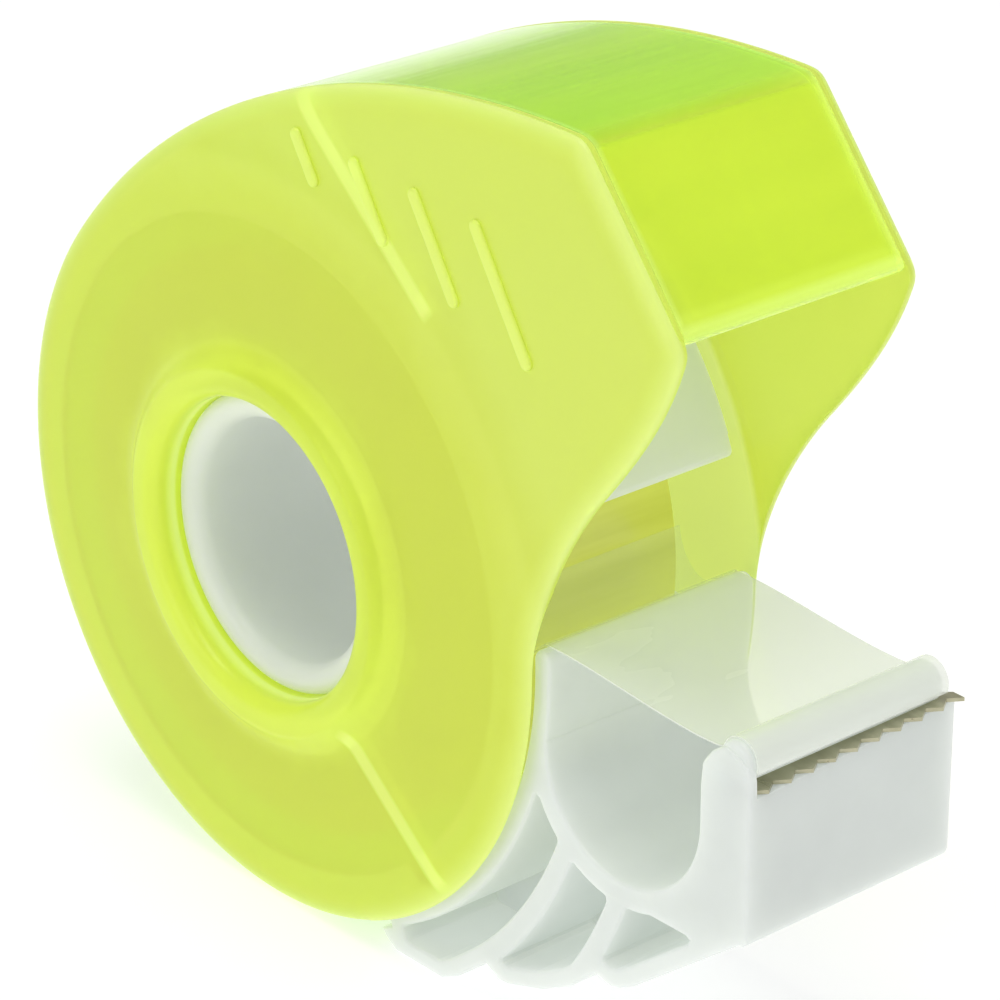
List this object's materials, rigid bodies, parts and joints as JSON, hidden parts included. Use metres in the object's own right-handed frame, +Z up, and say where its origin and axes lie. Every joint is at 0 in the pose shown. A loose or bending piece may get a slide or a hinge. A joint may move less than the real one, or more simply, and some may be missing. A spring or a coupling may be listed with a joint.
{
  "type": "hand tape dispenser",
  "caption": "Hand-held tape dispenser: translucent neon cover that swings about a hollow hub, over a white base with tape tray, finger valley, lip bar and serrated cutter.",
  "frame": {"origin": "hub axis at the mid-plane of the tape", "axes": "+X towards the nose and cutter, +Y along the hub axis, +Z up"},
  "size_m": [0.0828, 0.0268, 0.0729],
  "materials": {
    "base": "satin",
    "hub": "satin",
    "blade": "satin",
    "cover_side": "frosted",
    "cover_band": "glossy",
    "core": "plain",
    "tape": "satin",
    "tape_film": "satin"
  },
  "bodies": {
    "base": {"base_moulding": "base", "hub_tube": "hub", "cutter_blade": "blade", "tape_web": "tape_film"},
    "cover": {"near_side_shell": "cover_side", "clear_band": "cover_band", "far_side_shell": "cover_side"},
    "roll": {"tape_core": "core", "tape_winding": "tape"}
  },
  "joints": [
    {"name": "cover_swing", "type": "hinge", "parent": "base", "child": "cover", "pos_m": [0, 0, 0], "axis": [0, 1, 0], "range_deg": [0, 40]},
    {"name": "roll_spin", "type": "hinge", "parent": "base", "child": "roll", "pos_m": [0, 0, 0], "axis": [0, 1, 0], "continuous": true}
  ]
}
